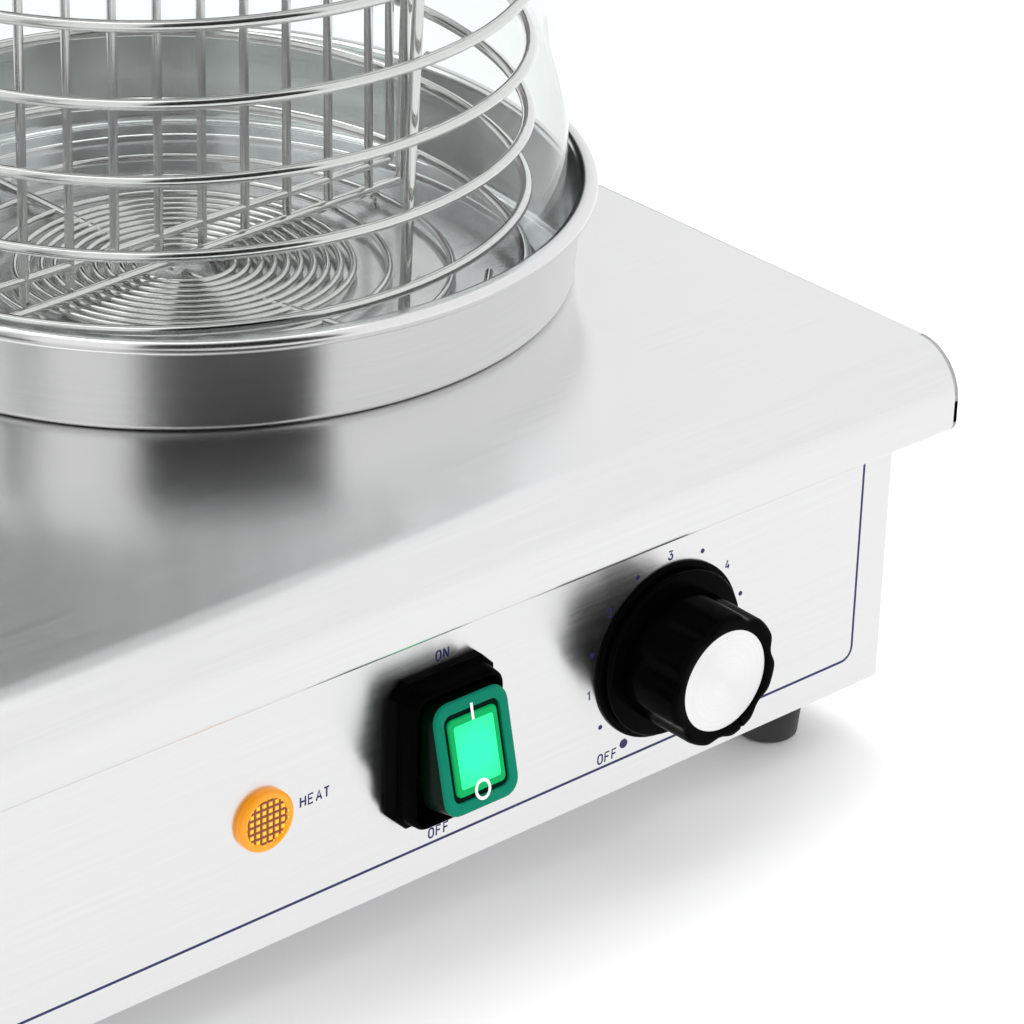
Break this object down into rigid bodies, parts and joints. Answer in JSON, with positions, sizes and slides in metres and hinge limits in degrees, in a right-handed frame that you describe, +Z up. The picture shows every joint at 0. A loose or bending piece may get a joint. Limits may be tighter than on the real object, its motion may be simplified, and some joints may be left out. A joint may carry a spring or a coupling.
{
  "type": "hot dog spike machine",
  "caption": "Counter-top stainless base with bullnose front, steam pan, glass cylinder, wound wire basket with divider, lid, heated bun spikes, lamp, lit rocker and dial.",
  "frame": {"origin": "centre of the bounding box in X and Y, at the underside of the rubber feet", "axes": "+Z up, front panel with the controls towards -Y, basket to +X and spikes to -X"},
  "size_m": [0.5, 0.307, 0.3994],
  "materials": {
    "casing_steel": "satin",
    "plain_steel": "satin",
    "fixings": "polished",
    "black_plastic": "matte",
    "pale_plastic": "matte",
    "copper": "satin",
    "knob_plastic": "satin",
    "spun_aluminium": "spun",
    "switch_plastic": "satin",
    "rocker_green": "glossy",
    "lens_green": "glossy",
    "brass_tabs": "satin",
    "lamp_amber": "glossy",
    "pan_steel": "polished",
    "dark_steel": "dull",
    "clear_glass": "clear",
    "bright_wire": "polished",
    "lead_sleeve": "matte",
    "rubber": "matte",
    "spike_aluminium": "polished"
  },
  "bodies": {
    "casing": {"top_plate": "casing_steel", "body_shell": "casing_steel", "rear_panel": "casing_steel", "bottom_plate": "plain_steel", "casing_screws": "fixings", "foot_screws": "fixings", "foot_nuts": "fixings", "cable_gland": "black_plastic", "gland_cap": "black_plastic", "gland_locknut": "black_plastic", "thermostat_body": "pale_plastic", "thermostat_screws": "fixings", "thermostat_probe": "copper", "dial_bezel": "knob_plastic", "switch_housing": "switch_plastic", "switch_terminals": "brass_tabs", "lamp_lens": "lamp_amber", "lamp_body": "black_plastic", "lamp_nut": "black_plastic", "water_pan": "pan_steel", "heating_element": "dark_steel", "element_clamp": "plain_steel", "element_nut": "fixings", "safety_cutout": "pale_plastic", "spike_heaters": "dark_steel", "spike_nuts": "fixings", "terminal_block": "pale_plastic", "earth_stud": "fixings", "wiring": "lead_sleeve", "foot_front_left": "rubber", "foot_front_right": "rubber", "foot_rear_left": "rubber", "foot_rear_right": "rubber", "spike_1": "spike_aluminium", "spike_collar_1": "black_plastic", "spike_2": "spike_aluminium", "spike_collar_2": "black_plastic", "spike_3": "spike_aluminium", "spike_collar_3": "black_plastic", "spike_4": "spike_aluminium", "spike_collar_4": "black_plastic"},
    "thermostat_knob": {"thermostat_shaft": "fixings", "knob_grip": "knob_plastic", "knob_insert": "spun_aluminium"},
    "power_rocker": {"switch_rocker": "rocker_green", "rocker_lens": "lens_green"},
    "glass": {"glass_cylinder": "clear_glass"},
    "basket": {"basket_frame": "bright_wire", "basket_floor_coil": "bright_wire", "basket_side_coil": "bright_wire", "basket_grips": "bright_wire"},
    "divider": {"divider_frame": "bright_wire", "divider_bars": "bright_wire"},
    "lid": {"lid_cover": "spun_aluminium", "lid_ring": "spun_aluminium", "lid_knob": "black_plastic", "lid_screw": "fixings"}
  },
  "joints": [
    {"name": "thermostat_turn", "type": "hinge", "parent": "casing", "child": "thermostat_knob", "pos_m": [0.16875, -0.1319, 0.0547], "axis": [0, -1, 0], "range_deg": [0, 306]},
    {"name": "power_rocker_tilt", "type": "hinge", "parent": "casing", "child": "power_rocker", "pos_m": [0.0927, -0.1344, 0.0571], "axis": [1, 0, 0], "range_deg": [0, 26.8]},
    {"name": "glass_lift", "type": "slide", "parent": "casing", "child": "glass", "axis": [0, 0, 1], "range_m": [0, 0.06]},
    {"name": "basket_lift", "type": "slide", "parent": "glass", "child": "basket", "axis": [0, 0, 1], "range_m": [0, 0.25]},
    {"name": "divider_lift", "type": "slide", "parent": "basket", "child": "divider", "axis": [0, 0, 1], "range_m": [0, 0.215]},
    {"name": "lid_lift", "type": "slide", "parent": "divider", "child": "lid", "axis": [0, 0, 1], "range_m": [0, 0.06]}
  ]
}
